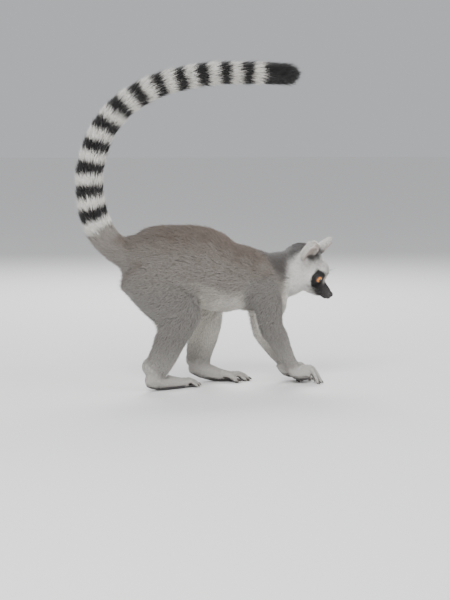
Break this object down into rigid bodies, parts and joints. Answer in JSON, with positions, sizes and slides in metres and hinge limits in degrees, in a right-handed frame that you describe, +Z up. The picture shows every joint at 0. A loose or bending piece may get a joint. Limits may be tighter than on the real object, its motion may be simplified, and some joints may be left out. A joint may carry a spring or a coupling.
{
  "type": "ring-tailed lemur model",
  "caption": "Still life-size ring-tailed lemur walking on all fours, its long tail arched up and forward over its back.",
  "frame": {"origin": "on the floor, under the middle of the model's box", "axes": "+X forward along the walk, +Y to the animal's left, +Z up"},
  "size_m": [0.4696, 0.1464, 0.5773],
  "materials": {
    "coat": "dense grey-brown fur",
    "pale_coat": "short whitish fur",
    "dark_coat": "long black fur",
    "nose_skin": "bare black skin, slightly moist",
    "eye": "glossy amber eye with a round black pupil"
  },
  "bodies": {
    "root": {"head": "coat", "neck": "coat", "chest": "coat", "abdomen": "coat", "upper_arm_left": "coat", "upper_arm_right": "coat", "forearm_left": "coat", "forearm_right": "coat", "thigh_left": "coat", "thigh_right": "coat", "shank_left": "coat", "shank_right": "coat", "tail_1": "coat", "tail_2": "coat", "tail_3": "coat", "tail_4": "coat", "tail_5": "coat", "tail_tip": "dark_coat", "ear_left": "pale_coat", "ear_right": "pale_coat", "hand_left": "pale_coat", "hand_right": "pale_coat", "foot_left": "pale_coat", "foot_right": "pale_coat", "nose": "nose_skin", "eye_left": "eye", "eye_right": "eye"}
  },
  "joints": []
}
